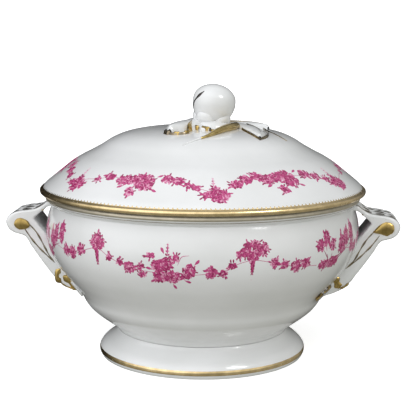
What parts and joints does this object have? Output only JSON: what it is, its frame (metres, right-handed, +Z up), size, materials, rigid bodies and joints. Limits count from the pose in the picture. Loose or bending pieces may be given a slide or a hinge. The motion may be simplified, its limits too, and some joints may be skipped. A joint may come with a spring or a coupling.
{
  "type": "soup tureen",
  "caption": "Round soup tureen on a flared hollow foot, with scroll handles at both sides and a domed lift-off lid that has a fruit-and-leaf knob.",
  "frame": {"origin": "centre of the foot's base ring, on the surface the tureen stands on", "axes": "+X through the right handle, +Y to the back, +Z up through the lid's knob"},
  "size_m": [0.302, 0.25, 0.2097],
  "materials": {
    "porcelain": "clear glossy glaze over white porcelain",
    "gilding": "burnished gold fired over the glaze",
    "pink_enamel": "magenta flower painting fired under a glossy surface"
  },
  "bodies": {
    "tureen": {"pedestal_foot": "porcelain", "bowl": "porcelain", "handle_left": "porcelain", "handle_left_leaf": "porcelain", "handle_right": "porcelain", "handle_right_leaf": "porcelain"},
    "lid": {"lid": "porcelain", "finial_calyx": "porcelain", "finial_fruit": "porcelain", "finial_stem": "gilding", "finial_leaf_left": "porcelain", "finial_leaf_right": "porcelain", "finial_leaf_back": "porcelain"}
  },
  "joints": [
    {"name": "lid_lift", "type": "slide", "parent": "tureen", "child": "lid", "axis": [0, 0, 1], "range_m": [0, 0.12]}
  ]
}
